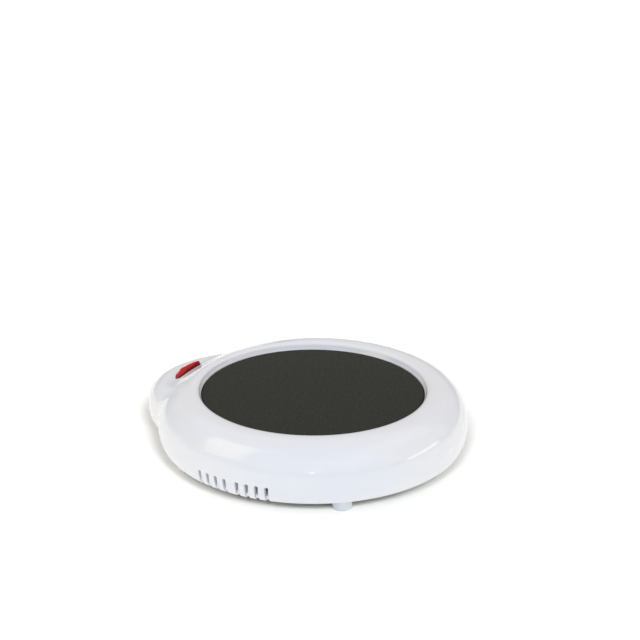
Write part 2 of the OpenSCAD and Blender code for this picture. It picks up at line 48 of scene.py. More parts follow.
# ------------------------------------------------------------------ the object's driving sizes, mm
# "plan" coordinates have the warming plate's axis at (0, 0); the row frame has it at y = SHIFT_Y
BODY_R, PLATE_Z, CROWN_H, CROWN_R, LIP_R = 63.0, 24.8, 2.65, 49.7, 46.1
BELT_Z, POWER, TUCK, EDGE_Z, WALL = 12.8, 2.2, 2.7, 5.4, 2.0
LOBE_Y, LOBE_R, FILLET = 41.25, 32.0, 11.5
NEAR_SLOPE, FAR_SLOPE, LOBE_K = 0.52, 0.08, 0.54
BLEND_A0, BLEND_A1 = 5.0, 75.0
VENT_W, VENT_TOP, VENT_MID, VENT_PITCH = 1.4, 11.8, 87.0, 3.7
ROCK_LEN, ROCK_W, ROCK_Y, ROCK_TILT = 19.8, 4.1, 58.4, 5.0
FOOT_D, FOOT_R, INLET_R = 7.5, 54.3, 3.2
SHIFT_Y = -(LOBE_Y + LOBE_R - BODY_R) / 2
CROWN_Z = PLATE_Z + CROWN_H
RISE = CROWN_Z - BELT_Z
SIDE_W = BODY_R - CROWN_R
LIP_Z = PLATE_Z + 1.3
LEDGE_Z, LEDGE_R = PLATE_Z - 0.2, 45.3
PIVOT_Z = PLATE_Z - 7.0
SWITCH_Y, FRAME_Y = ROCK_Y + ROCK_W / 2, ROCK_Y + 1.0
BASE_Z0, BASE_Z1, BASE_IN = 4.6, 6.8, 4.9
INLET_Z = 10.2
BOSS_R, BOSS_A = 53.5, (60, 120, 240, 300)
EAR_R, EAR_A = 52.0, (270, 30, 150)
FOOT_A = (40, 140, 218.3, 321.7)
VENT_A = [90 + s * (VENT_MID + g * (VENT_PITCH * 2 + 0.65) + k * VENT_PITCH)
          for s in (-1, 1) for g in (-1, 1) for k in (-1.5, -0.5, 0.5, 1.5)]

# plan outline: four arcs joined by fillets
FA, FB = BODY_R + FILLET, LOBE_R + FILLET
FX = (FA * FA - FB * FB + LOBE_Y * LOBE_Y) / (2 * LOBE_Y)
FY = sqrt(FA * FA - FX * FX)
A1, B1 = degrees(atan2(FY, FX)), degrees(atan2(FY, FX - LOBE_Y))


def share(x, y):
    """How much a place belongs to the round body: 0 on the lobe's axis, 1 well round the side."""
    t = np.clip((np.degrees(np.arctan2(np.abs(x), y)) - BLEND_A0) / (BLEND_A1 - BLEND_A0), 0, 1)
    return t * t * (3 - 2 * t)


def columns(nl, nf, nm):
    """Per column of the widest outline: x, y, inward direction and share of the round body, anticlockwise from the lobe's tip."""
    rows = []
    for c, r, sg, a0, a1, n in (((0, LOBE_Y), LOBE_R, -1, 90, 90 + B1, nl),
                                ((-FY, FX), FILLET, 1, 270 + B1, 270 + A1, nf),
                                ((0, 0), BODY_R, -1, 90 + A1, 450 - A1, nm),
                                ((FY, FX), FILLET, 1, 270 - A1, 270 - B1, nf),
                                ((0, LOBE_Y), LOBE_R, -1, 450 - B1, 450, nl)):
        for k in range(n):
            a = radians(a0 + (a1 - a0) * k / n)
            x, y = c[0] + r * cos(a), c[1] + r * sin(a)
            rows.append((x, y, sg * cos(a), sg * sin(a), float(share(x, y))))
    return np.array(rows)


def outline(col, inset, lobe_inset=None):
    j = inset if lobe_inset is None else lobe_inset
    q = j + (inset - j) * col[:, 4]
    return col[:, :2] + col[:, 2:4] * q[:, None]


def ramp(y, c, w):
    return np.where(y < c - w, 0, np.where(y < c + w, (y - c + w) ** 2 / (4 * w), y - c))


def drop(r):
    """How far the lobe's top lies under the crown's height at distance r from the plate's axis."""
    return NEAR_SLOPE * ramp(r, 48.6, 2.5) - (NEAR_SLOPE - FAR_SLOPE) * ramp(r, 58.7, 3.0)


def lifted(xy, z, f, w):
    return np.c_[xy, z - drop(np.hypot(xy[:, 0], xy[:, 1])) * (1 - w) * f]


def top_z(x, y):
    """Height of the shell's outside where it is nearly flat, around the switch."""
    return CROWN_Z - float(drop(np.array(sqrt(x * x + y * y))) * (1 - share(x, y)))


def crown_profile(r):
    """Height at radius r on the roll-off from the crown down to the lip."""
    q = np.clip((CROWN_R - r) / (CROWN_R - LIP_R), 0, 1)
    return CROWN_Z - (CROWN_Z - LIP_Z) * (1 - np.sqrt(1 - q * q))


# ------------------------------------------------------------------ mesh helpers
def grid_faces(m, n, close_rings=False):
    """Quads between m rings of n points, outward for rings that climb while their points go anticlockwise."""
    f = []
    for j in range(m if close_rings else m - 1):
        a, b = j * n, ((j + 1) % m) * n
        for k in range(n):
            k2 = (k + 1) % n
            f.append((a + k, a + k2, b + k2, b + k))
    return f


def make(name, verts, faces, shift=True):
    v = np.array(verts, float)
    if shift:
        v = v + np.array([0, SHIFT_Y, 0])
    me = bpy.data.meshes.new(name)
    me.from_pydata((v * MM).tolist(), [], [tuple(int(i) for i in f) for f in faces])
    me.validate()
    me.update()
    ob = bpy.data.objects.new(name, me)
    scene.collection.objects.link(ob)
    return ob


def fix_normals(ob):
    bm = bmesh.new()
    bm.from_mesh(ob.data)
    bmesh.ops.recalc_face_normals(bm, faces=bm.faces)
    bm.to_mesh(ob.data)
    bm.free()


def applied(ob):
    """Bakes the modifiers of ob into its mesh."""
    bpy.context.view_layer.update()
    dg = bpy.context.evaluated_depsgraph_get()
    me = bpy.data.meshes.new_from_object(ob.evaluated_get(dg))
    old = ob.data
    ob.modifiers.clear()
    ob.data = me
    me.name = old.name
    bpy.data.meshes.remove(old)
    return ob


def cut(ob, other, op="DIFFERENCE", solver="MANIFOLD"):
    m = ob.modifiers.new("b", "BOOLEAN")
    m.operation, m.object, m.solver = op, other, solver
    applied(ob)
    bpy.data.objects.remove(other)
    return ob


def shade(ob, angle=35, weighted=True, merge=0.0):
    """Smooth shading, with sharp edges over the angle, and face-weighted normals."""
    bm = bmesh.new()
    bm.from_mesh(ob.data)
    if merge:
        bmesh.ops.remove_doubles(bm, verts=bm.verts, dist=merge * MM)
        bmesh.ops.dissolve_degenerate(bm, edges=bm.edges, dist=merge * MM)
    lim = radians(angle)
    for f in bm.faces:
        f.smooth = True
    for e in bm.edges:
        e.smooth = len(e.link_faces) == 2 and e.calc_face_angle(0) < lim
    bm.to_mesh(ob.data)
    bm.free()
    if weighted:
        m = ob.modifiers.new("w", "WEIGHTED_NORMAL")
        m.mode, m.weight, m.keep_sharp = "FACE_AREA", 60, True
        applied(ob)
    return ob


def turned(points, a):
    """Rotates plan points by angle a in degrees about the plate's axis."""
    c, s = cos(radians(a)), sin(radians(a))
    p = np.array(points, float)
    return np.c_[p[:, 0] * c - p[:, 1] * s, p[:, 0] * s + p[:, 1] * c, p[:, 2]]


def lathe(profile, n=96, centre=(0, 0), close=False):
    """Points and faces of a profile of (r, z) turned about a vertical line. Points on the axis make a cap."""
    verts, rings = [], []
    for r, z in profile:
        if r < 1e-6:
            rings.append([len(verts)])
            verts.append((centre[0], centre[1], z))
        else:
            rings.append(list(range(len(verts), len(verts) + n)))
            verts += [(centre[0] + r * cos(2 * pi * k / n), centre[1] + r * sin(2 * pi * k / n), z) for k in range(n)]
    faces = []
    pairs = list(zip(rings, rings[1:])) + ([(rings[-1], rings[0])] if close else [])
    for a, b in pairs:
        for k in range(n):
            k2 = (k + 1) % n
            if len(a) == 1 and len(b) == 1:
                continue
            if len(a) == 1:
                faces.append((a[0], b[k2], b[k]))
            elif len(b) == 1:
                faces.append((a[k], a[k2], b[0]))
            else:
                faces.append((a[k], a[k2], b[k2], b[k]))
    return verts, faces


def join(parts):
    verts, faces = [], []
    for v, f in parts:
        o = len(verts)
        verts += [tuple(p) for p in v]
        faces += [tuple(i + o for i in q) for q in f]
    return verts, faces


# ------------------------------------------------------------------ the shell
def shell_rings(col):
    flat_i = SIDE_W * 12 / 13.3
    xy13 = outline(col, SIDE_W, SIDE_W * LOBE_K)
    ang = np.arctan2(xy13[:, 1], xy13[:, 0])

    w = col[:, 4]

    def hoop(r, z):
        return lifted(np.c_[r * np.cos(ang), r * np.sin(ang)], z, (z - BELT_Z) / RISE, w)

    rings = []
    # underside of the rim, then the tucked-in lower side
    rings.append(lifted(outline(col, WALL + TUCK - 0.25), EDGE_Z, 0, w))
    rings.append(lifted(outline(col, TUCK + 0.9), EDGE_Z, 0, w))
    for t in np.linspace(90, 0, 19):
        t = radians(t)
        rings.append(lifted(outline(col, TUCK * (1 - cos(t))), BELT_Z - (BELT_Z - EDGE_Z) * sin(t), 0, w))
    # upper side, a superellipse
    for t in list(np.linspace(0, 60, 19))[1:] + list(np.linspace(60, 90, 15))[1:]:
        t = radians(t)
        i, f = SIDE_W * (1 - max(cos(t), 0) ** (2 / POWER)), sin(t) ** (2 / POWER)
        rings.append(lifted(outline(col, i, i * LOBE_K), BELT_Z + RISE * f, f, w))
    # nearly flat top between the side and the crown circle, only wide on the lobe
    goal_r = CROWN_R - 0.5
    goal = np.c_[goal_r * np.cos(ang), goal_r * np.sin(ang)]
    for s in np.linspace(0, 1, 25)[1:]:
        xy = xy13 * (1 - s) + goal * s
        rings.append(lifted(xy, crown_profile(np.hypot(xy[:, 0], xy[:, 1])), 1, w))
    # roll-off to the lip
    s0 = asin(0.5 / (CROWN_R - LIP_R))
    for s in np.linspace(s0, pi / 2, 13)[1:]:
        r = CROWN_R - (CROWN_R - LIP_R) * sin(s)
        rings.append(hoop(r, CROWN_Z - (CROWN_Z - LIP_Z) * (1 - cos(s))))
    # wall down to the ledge over the plate's rim
    rings.append(hoop(45.75, 25.35))
    rings.append(hoop(LEDGE_R + 0.12, LEDGE_Z + 0.2))
    flat = np.c_[np.cos(ang), np.sin(ang)]
    for r, z in ((LEDGE_R + 0.04, LEDGE_Z + 0.06), (LEDGE_R + 0.2, LEDGE_Z), (49.0, LEDGE_Z)):
        rings.append(np.c_[flat * r, np.full(len(col), z)])
    # inside
    xyi = outline(col, flat_i, flat_i * LOBE_K)
    for s in np.linspace(0, 0.9, 10):
        rings.append(lifted(flat * 49.5 * (1 - s) + xyi * s, CROWN_Z - WALL, 1, w))
    for t in (85.56, 75, 60, 42, 22, 0):
        t = radians(t)
        nr, nz = cos(t) ** (2 - 2 / POWER) / SIDE_W, sin(t) ** (2 - 2 / POWER) / RISE
        i, f = SIDE_W * (1 - cos(t) ** (2 / POWER)), sin(t) ** (2 / POWER)
        rings.append(lifted(outline(col, i + WALL * nr / sqrt(nr * nr + nz * nz),
                                    i * LOBE_K + WALL * nr / LOBE_K / sqrt((nr / LOBE_K) ** 2 + nz * nz)),
                            BELT_Z + RISE * f - WALL * nz / sqrt(nr * nr + nz * nz), f, w))
    rings.append(lifted(outline(col, WALL + TUCK * 0.3), BELT_Z - (BELT_Z - EDGE_Z) * 0.6, 0, w))
    rings.append(lifted(outline(col, WALL + TUCK), EDGE_Z + 0.25, 0, w))
    return rings


col = columns(44, 26, 300)
rings = shell_rings(col)
shell = make("shell_body", np.vstack(rings), grid_faces(len(rings), len(col), True))
fix_normals(shell)


def tube(r_out, r_in, z0, z1, at, n=40):
    return lathe([(r_in, z0), (r_out, z0), (r_out, z1), (r_in, z1)], n, at, close=True)


def post(r, z0, z1, at, n=40):
    return lathe([(0, z0), (r, z0), (r, z1), (0, z1)], n, at)


def polar(r, a):
    return (r * cos(radians(a)), r * sin(radians(a)))


posts = [post(3.25, BASE_Z1 + 0.1, PLATE_Z - 1.1, polar(BOSS_R, a)) for a in BOSS_A]
posts += [post(3.0, PLATE_Z - 4.6, PLATE_Z + 0.6, polar(EAR_R, a)) for a in EAR_A]
posts += [post(2.7, PIVOT_Z - 2.2, PIVOT_Z + 3.6, (s * 16.2, FRAME_Y)) for s in (-1, 1)]
o = make("posts", *join(posts)); fix_normals(o)
cut(shell, o, "UNION")
holes = [post(1.3, BASE_Z1 - 1, 17, polar(BOSS_R, a)) for a in BOSS_A]
holes += [post(1.25, PLATE_Z - 6, PLATE_Z - 0.8, polar(EAR_R, a)) for a in EAR_A]
holes += [post(1.05, PIVOT_Z - 4, PIVOT_Z + 2.6, (s * 16.2, FRAME_Y)) for s in (-1, 1)]
o = make("holes", *join(holes)); fix_normals(o)
cut(shell, o)


def side_r(z):
    """Outer radius of the round body at height z below its widest line."""
    q = min(max((BELT_Z - z) / (BELT_Z - EDGE_Z), 0), 1)
    return BODY_R - TUCK * (1 - sqrt(1 - q * q))


def slot_cutter(a):
    """A vent slot open at the bottom, with its mouth rounded over, that follows the shell's outside."""
    base = []
    hw, rc = VENT_W / 2, 0.45
    base.append((-hw, 2.0, -1, 0))
    for z in np.linspace(4.6, VENT_TOP - rc, 14):
        base.append((-hw, z, -1, 0))
    for t in np.linspace(0, 90, 6)[1:]:
        base.append((-hw + rc - rc * cos(radians(t)), VENT_TOP - rc + rc * sin(radians(t)), -cos(radians(t)), sin(radians(t))))
    for p in list(base)[::-1]:
        base.append((-p[0], p[1], -p[2], p[3]))
    levels = [(-2.5, 0.30), (-0.0, 0.30)]
    rf = 0.32
    levels = [(-2.5, rf * (1 - sin(radians(16)))), (0.0, rf * (1 - sin(radians(16))))]
    for t in (28, 42, 58, 74, 90):
        levels.append((rf * (1 - cos(radians(t))) - rf * (1 - cos(radians(16))), rf * (1 - sin(radians(t)))))
    levels.append((6.5, 0.0))
    verts, n = [], len(base)
    for d, fl in levels:
        for x, z, nx, nz in base:
            xx, zz = x + nx * fl, z + nz * fl
            R = side_r(zz)
            rr = sqrt(R * R - xx * xx) - d
            verts.append((rr, xx, zz))
    faces = grid_faces(len(levels), n)
    faces.append(tuple(range(n)))
    faces.append(tuple(range((len(levels) - 1) * n, len(levels) * n))[::-1])
    return turned(verts, a), faces


o = make("slots", *join([slot_cutter(a) for a in VENT_A])); fix_normals(o)
cut(shell, o)


ROCK_R = (ROCK_LEN ** 2 / 4 + ROCK_W ** 2) / (2 * ROCK_W)


def dee_ring(grow, tip=0.5, n=60):
    """Closed half-moon with rounded tips, grown by grow: (x, u) points, anticlockwise."""
    half = asin(ROCK_LEN / 2 / ROCK_R)
    poly = [(ROCK_R * sin(t), ROCK_W - ROCK_R + ROCK_R * cos(t)) for t in np.linspace(half, -half, 240)]
    return offset_round(poly, tip, grow, n)


def offset_round(poly, tip, grow, n):
    """Rounds the corners of a convex polygon to radius tip, then grows it by grow. The argument n is not used."""
    p = np.array(poly)
    q = np.roll(p, -1, 0)
    d = q - p
    keep = np.hypot(d[:, 0], d[:, 1]) > 1e-9
    p, d = p[keep], d[keep]
    d = d / np.hypot(d[:, 0], d[:, 1])[:, None]
    nrm = np.c_[d[:, 1], -d[:, 0]]
    h = (nrm * p).sum(1)
    ang = np.unwrap(np.arctan2(nrm[:, 1], nrm[:, 0]))
    # the shrunk polygon as the intersection of its half planes, by its support corners
    hs = h - tip
    pts, m = [], len(p)
    inner = clip_convex(nrm, hs)
    # outward: every corner of the shrunk polygon swept by a circle
    k = len(inner)
    out = []
    for i in range(k):
        a0, a1 = inner[i - 1], inner[i]
        a2 = inner[(i + 1) % k]
        e0, e1 = a1 - a0, a2 - a1
        t0, t1 = atan2(-e0[0], e0[1]), atan2(-e1[0], e1[1])
        while t1 < t0 - 1e-9:
            t1 += 2 * pi
        if t1 - t0 > pi:
            continue
        steps = max(1, int((t1 - t0) / radians(6)))
        for s in range(steps + 1):
            t = t0 + (t1 - t0) * s / steps
            out.append(a1 + (tip + grow) * np.array([cos(t), sin(t)]))
    return np.array(out)


def clip_convex(nrm, h):
    poly = [np.array(p, float) for p in ((-30, -30), (30, -30), (30, 30), (-30, 30))]
    for nn, hh in zip(nrm, h):
        new = []
        for i in range(len(poly)):
            a, b = poly[i], poly[(i + 1) % len(poly)]
            da, db = nn @ a - hh, nn @ b - hh
            if da <= 0:
                new.append(a)
            if (da < 0 < db) or (db < 0 < da):
                new.append(a + (b - a) * da / (da - db))
        poly = new
    return [p for i, p in enumerate(poly) if np.hypot(*(p - poly[i - 1])) > 1e-6]


def resample(loop, n):
    """n points evenly along a closed loop, starting at the point furthest in +X."""
    loop = np.array(loop)
    loop = np.roll(loop, -int(np.argmax(loop[:, 0] - 0.001 * loop[:, 1])), 0)
    p = np.vstack([loop, loop[:1]])
    s = np.r_[0, np.cumsum(np.hypot(*np.diff(p, axis=0).T))]
    t = np.linspace(0, s[-1], n, endpoint=False)
    return np.c_[np.interp(t, s, p[:, 0]), np.interp(t, s, p[:, 1])]


def window_cutter():
    """The switch window: half-moon with round tips and a rounded-over mouth, walls turned about the rocker's line."""
    rf, n = 0.22, 200
    gap = 0.38
    levels = [(3.0, rf * (1 - sin(radians(16))))]
    for t in (16, 28, 42, 58, 74, 90):
        levels.append((-(rf * (1 - cos(radians(t))) - rf * (1 - cos(radians(16)))), rf * (1 - sin(radians(t)))))
    levels += [(-1.2, 0.0), (-2.6, 0.0), (-4.2, 0.0)]
    verts = []
    for dz, fl in levels:
        loop = resample(dee_ring(gap + fl, 0.5), n)
        for x, u in loop:
            top = top_z(x, ROCK_Y + u) if dz <= 0 else CROWN_Z
            z = top + dz
            # below the mouth the wall leans as the turned rocker does
            if dz < 0:
                z0 = top - PIVOT_Z
                z1 = z - PIVOT_Z
                rr = sqrt(x * x + z0 * z0)
                xx = sqrt(max(rr * rr - z1 * z1, 0)) * (1 if x >= 0 else -1)
                lean = xx - x if abs(x) > 1e-6 else 0
                w = min(abs(x) / 4, 1)
                x = x + lean * w
            verts.append((x, ROCK_Y + u, z))
    faces = grid_faces(len(levels), n)
    faces.append(tuple(range(n))[::-1])
    faces.append(tuple(range((len(levels) - 1) * n, len(levels) * n)))
    return verts, faces


o = make("window", *window_cutter()); fix_normals(o)
cut(shell, o)


def prism_y(poly, y0, y1):
    """(x, z) polygon extruded along Y."""
    n = len(poly)
    verts = [(x, y0, z) for x, z in poly] + [(x, y1, z) for x, z in poly]
    faces = [tuple(range(n)), tuple(range(n, 2 * n))[::-1]] + [(k, (k + 1) % n, n + (k + 1) % n, n + k) for k in range(n)]
    return verts, faces


def arch(hw, top, bottom, ch, seg=6):
    """An arch outline with rounded shoulders, (x, z)."""
    pts = [(-hw, bottom)]
    for t in np.linspace(0, 90, seg + 1):
        pts.append((-hw + ch - ch * cos(radians(t)), top - ch + ch * sin(radians(t))))
    for t in np.linspace(90, 0, seg + 1):
        pts.append((hw - ch + ch * cos(radians(t)), top - ch + ch * sin(radians(t))))
    pts.append((hw, bottom))
    return pts


o = make("notch", *prism_y(arch(4.9, 15.0, 0.0, 2.4, 8), 67, 80)); fix_normals(o)
cut(shell, o)
shade(shell, 32, merge=0.0005)
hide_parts("top_shell")
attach(shell, "root")


# ------------------------------------------------------------------ the rocker
def skin_h(u):
    return top_z(0, ROCK_Y + u) - PIVOT_Z


NEAR_H = skin_h(0.0)
CAP_LEAN = atan2(skin_h(0.0) - skin_h(ROCK_W), ROCK_W)


def cap_top(x, u):
    """Height of the rocker's face over its pivot line: a wide cylinder that leans with the lobe's top."""
    return NEAR_H + 1.25 + (sqrt(120 ** 2 - x * x) - 120) / cos(CAP_LEAN) - sin(CAP_LEAN) / cos(CAP_LEAN) * u


def cap_loop(inset, height, n=180):
    """One loop of the rocker's outside; height(x, u) is measured from the pivot line."""
    out = []
    for x, u in resample(dee_ring(-inset, 0.5), n):
        s = skin_h(u)
        h = height(x, u)
        xx = sqrt(max(x * x + s * s - h * h, 0)) * (1 if x >= 0 else -1)
        x2 = x + (xx - x) * min(abs(x) / 4, 1)
        out.append((x2, ROCK_Y + u, PIVOT_Z + height(x2, u)))
    return np.array(out)


def rocker_skin():
    rf = 0.5
    loops = [cap_loop(0.35, lambda x, u: -1.4), cap_loop(0.1, lambda x, u: -1.3), cap_loop(0.0, lambda x, u: -1.0)]
    for k in range(1, 7):
        loops.append(cap_loop(0.0, lambda x, u: -1.0 + (cap_top(x, u) - rf + 1.0) * k / 6))
    for t in (15, 30, 45, 60, 75, 90):
        a = radians(t)
        loops.append(cap_loop(rf * (1 - cos(a)), lambda x, u: cap_top(x, u) - rf * (1 - sin(a))))
    last = loops[-1]
    for f in (0.25, 0.5, 0.75, 0.94):
        x = last[:, 0] * (1 - f) + np.clip(last[:, 0], -6.5, 6.5) * f
        u = (last[:, 1] - ROCK_Y) * (1 - f) + 1.9 * f
        loops.append(np.array([(a, ROCK_Y + b, PIVOT_Z + cap_top(a, b)) for a, b in zip(x, u)]))
    n = len(last)
    faces = grid_faces(len(loops), n)
    faces.append(tuple(range(n))[::-1])
    faces.append(tuple(range((len(loops) - 1) * n, len(loops) * n)))
    return np.vstack(loops), faces


def rod_along(axis, r, a, b, at, n=40, bevel=0.2):
    """A rod with bevelled ends along X or Y; at is its place on the other two axes."""
    rows = [(0, a), (r - bevel, a), (r, a + bevel), (r, b - bevel), (r, b), (0, b)] if bevel else [(0, a), (r, a), (r, b), (0, b)]
    if bevel:
        rows = [(0, a), (r - bevel, a), (r, a + bevel), (r, b - bevel), (r - bevel, b), (0, b)]
    v, f = lathe(rows, n)
    v = np.array(v)
    v = np.c_[v[:, 2], v[:, 0] + at[0], v[:, 1] + at[1]] if axis == "x" else np.c_[v[:, 0] + at[0], v[:, 2], v[:, 1] + at[1]]
    return v, f


def block(x0, x1, y0, y1, z0, z1):
    v = [(x, y, z) for z in (z0, z1) for x, y in ((x0, y0), (x1, y0), (x1, y1), (x0, y1))]
    return v, [(0, 3, 2, 1), (4, 5, 6, 7), (0, 1, 5, 4), (1, 2, 6, 5), (2, 3, 7, 6), (3, 0, 4, 7)]


def tilt(ob, angle):
    """Turns a mesh about the rocker's pivot line."""
    a = radians(angle)
    m = Matrix.Translation((0, 0, PIVOT_Z * MM)) @ Matrix.Rotation(a, 4, "Y") @ Matrix.Translation((0, 0, -PIVOT_Z * MM))
    ob.data.transform(m)
    ob.data.update()
    return ob


rocker = make("rocker_body", *rocker_skin()); fix_normals(rocker)
o = make("axle", *rod_along("y", 1.2, FRAME_Y - 4.8, FRAME_Y + 4.8, (0, PIVOT_Z))); fix_normals(o)
cut(rocker, o, "UNION")
o = make("sleeve", *post(2.1, PIVOT_Z - 4.2, PIVOT_Z + 1, (0, SWITCH_Y), 48)); fix_normals(o)
cut(rocker, o, "UNION")
o = make("bore", *join([post(1.35, PIVOT_Z - 5, PIVOT_Z + 3.6, (0, SWITCH_Y), 40)]
                       + [block(s * 5.6 - 3, s * 5.6 + 3, ROCK_Y + 0.9, ROCK_Y + 3.1, PIVOT_Z - 2, PIVOT_Z + 3.2) for s in (-1, 1)])); fix_normals(o)
cut(rocker, o)
tilt(rocker, -ROCK_TILT)
shade(rocker, 32, merge=0.0005)
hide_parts("rocker_cap")
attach(rocker, "rocker")


# ------------------------------------------------------------------ the other pieces
TOOK = {"top_shell": shell, "rocker_cap": rocker}
BODY_OF = {n: b for b, ns in frame["record"]["behaviour"]["bodies"].items() for n in ns}
SLOT_OF = {r["node"]: r["material_slot"] for r in frame["record"]["subparts"]}


def take(ob, node):
    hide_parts(node)
    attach(ob, BODY_OF[node])
    TOOK[node] = ob
    return ob


def eased(node, width, segments=2, angle=32, smooth=32):
    """A piece with its own faces joined up, its edges eased by width (mm) and its curved faces smooth."""
    me = nodes[node].data.copy()
    me.name = node + "_form"
    ob = bpy.data.objects.new(node + "_form", me)
    ob.matrix_world = nodes[node].matrix_world.copy()
    scene.collection.objects.link(ob)
    bm = bmesh.new()
    bm.from_mesh(me)
    bmesh.ops.remove_doubles(bm, verts=bm.verts, dist=0.0005 * MM)
    bmesh.ops.dissolve_limit(bm, angle_limit=radians(0.6), verts=bm.verts, edges=bm.edges)
    bm.to_mesh(me)
    bm.free()
    if width:
        m = ob.modifiers.new("e", "BEVEL")
        m.width, m.segments, m.limit_method, m.angle_limit = width * MM, segments, "ANGLE", radians(angle)
        m.use_clamp_overlap, m.harden_normals, m.miter_outer = True, False, "MITER_ARC"
        applied(ob)
    shade(ob, smooth)
    return take(ob, node)


def round_profile(pts, radii, seg=5):
    """A closed (r, z) profile with its corners rounded; a radius of 0 keeps a corner sharp."""
    out, n = [], len(pts)
    for k in range(n):
        p, a, b, r = np.array(pts[k], float), np.array(pts[k - 1], float), np.array(pts[(k + 1) % n], float), radii[k]
        if not r:
            out.append(tuple(p))
            continue
        u, v = (a - p) / np.hypot(*(a - p)), (b - p) / np.hypot(*(b - p))
        half = acos(float(np.clip(u @ v, -1, 1))) / 2
        t = r / sin(half) * cos(half)
        c = p + (u + v) / np.hypot(*(u + v)) * r / sin(half)
        p0, p1 = p + u * t, p + v * t
        a0, a1 = atan2(*(p0 - c)[::-1]), atan2(*(p1 - c)[::-1])
        da = (a1 - a0 + pi) % (2 * pi) - pi
        out += [(c[0] + r * cos(a0 + da * i / seg), c[1] + r * sin(a0 + da * i / seg)) for i in range(seg + 1)]
    return out


P = PLATE_Z
plate = make("plate_form", *lathe(round_profile(
    [(0, P - 1.4), (43.6, P - 1.4), (43.6, P - 2.5), (48.6, P - 2.5), (48.6, P - 1.1), (45.0, P - 1.1), (44.98, P), (0, P)],
    [0, 0.2, 0.25, 0.3, 0.3, 0.2, 0.45, 0]), 256)); fix_normals(plate)
shade(plate, 32)
take(plate, "heater_plate")

foot_parts = []
for a in FOOT_A:
    x, y = polar(FOOT_R, a)
    prof = round_profile([(0, 0.0), (FOOT_D / 2, 0.0), (FOOT_D / 2, BASE_Z0), (2.0, BASE_Z0), (2.0, BASE_Z1), (2.75, BASE_Z1), (1.5, BASE_Z1 + 1.6), (0, BASE_Z1 + 1.6)],
                         [0, 1.15, 0.25, 0, 0, 0.15, 0.4, 0], 8)
    foot_parts.append(lathe(prof, 72, (x, y)))
feet = make("feet_form", *join(foot_parts)); fix_normals(feet)
shade(feet, 32)
take(feet, "rubber_feet")

for node, width in (("base_cover", 0.25), ("cord_gland", 0.3), ("base_screws", 0.1), ("plate_gasket", 0.15), ("mica_heater", 0.06), ("heater_tabs", 0.1),
                    ("insulation_pad", 0.3), ("clamp_plate", 0.12), ("plate_studs", 0.2), ("stud_nuts", 0.2), ("clamp_screws", 0.12), ("thermal_cutoff", 0.12),
                    ("cutoff_sleeve", 0.12), ("cutoff_clip", 0.08), ("switch_frame", 0.18), ("switch_screws", 0.12), ("rocker_plunger", 0.08), ("contact_arm", 0.1),
                    ("common_terminal", 0.08), ("load_terminal", 0.1), ("neon_lamp", 0.08), ("lamp_resistor", 0.15), ("splice_caps", 0.1)):
    eased(node, width)
for node in ("heater_leads", "supply_leads"):
    eased(node, 0, smooth=62)


# ------------------------------------------------------------------ materials
def lin(c):
    return tuple((v / 12.92 if v <= 0.04045 else ((v + 0.055) / 1.055) ** 2.4) for v in c)


class Mat:
    def __init__(self, name):
        self.m = bpy.data.materials.new(name)
        self.m.use_nodes = True
        self.t = self.m.node_tree
        self.b = self.t.nodes["Principled BSDF"]
        self.co = self.t.nodes.new("ShaderNodeTexCoord").outputs["Object"]

    def set(self, **kw):
        for k, v in kw.items():
            s = self.b.inputs[k.replace("_", " ")]
            s.default_value = (*v, 1) if isinstance(v, tuple) and len(v) == 3 else v
        return self

    def noise(self, scale, detail=3, rough=0.5, stretch=None):
        n = self.t.nodes.new("ShaderNodeTexNoise")
        n.inputs["Scale"].default_value = scale
        n.inputs["Detail"].default_value = detail
        n.inputs["Roughness"].default_value = rough
        co = self.co
        if stretch:
            mp = self.t.nodes.new("ShaderNodeMapping")
            mp.inputs["Scale"].default_value = stretch
            self.t.links.new(co, mp.inputs["Vector"])
            co = mp.outputs["Vector"]
        self.t.links.new(co, n.inputs["Vector"])
        return n.outputs["Fac"]

    def ramp(self, fac, stops):
        r = self.t.nodes.new("ShaderNodeValToRGB")
        e = r.color_ramp.elements
        while len(e) < len(stops):
            e.new(0.5)
        for k, (p, c) in enumerate(stops):
            e[k].position = p
            e[k].color = (*c, 1) if len(c) == 3 else c
        self.t.links.new(fac, r.inputs["Fac"])
        return r.outputs["Color"]

    def range(self, fac, lo, hi, f0=0.3, f1=0.7):
        r = self.t.nodes.new("ShaderNodeMapRange")
        r.inputs["From Min"].default_value = f0
        r.inputs["From Max"].default_value = f1
        r.inputs["To Min"].default_value = lo
        r.inputs["To Max"].default_value = hi
        self.t.links.new(fac, r.inputs["Value"])
        return r.outputs["Result"]

    def link(self, out, name):
        self.t.links.new(out, self.b.inputs[name])
        return self

    def bump(self, heights, strength=1.0):
        """heights: (output, height in mm); bumps are chained."""
        last = None
        for out, h in heights:
            n = self.t.nodes.new("ShaderNodeBump")
            n.inputs["Strength"].default_value = strength
            n.inputs["Distance"].default_value = h * MM
            self.t.links.new(out, n.inputs["Height"])
            if last is not None:
                self.t.links.new(last, n.inputs["Normal"])
            last = n.outputs["Normal"]
        self.t.links.new(last, self.b.inputs["Normal"])
        return self


def white_plastic(name, tone, rough, grain=0.0, spread=0.015):
    m = Mat(name)
    m.set(IOR=1.5, Metallic=0.0)
    m.link(m.ramp(m.noise(38, 2), [(0.3, tuple(c * (1 - spread) for c in tone)), (0.7, tone)]), "Base Color")
    m.link(m.range(m.noise(160, 3), rough * 0.85, rough * 1.15), "Roughness")
    hs = [(m.noise(90, 2), 0.02)]
    if grain:
        hs.append((m.noise(1500, 2), grain))
    m.bump(hs, 0.6)
    return m.m


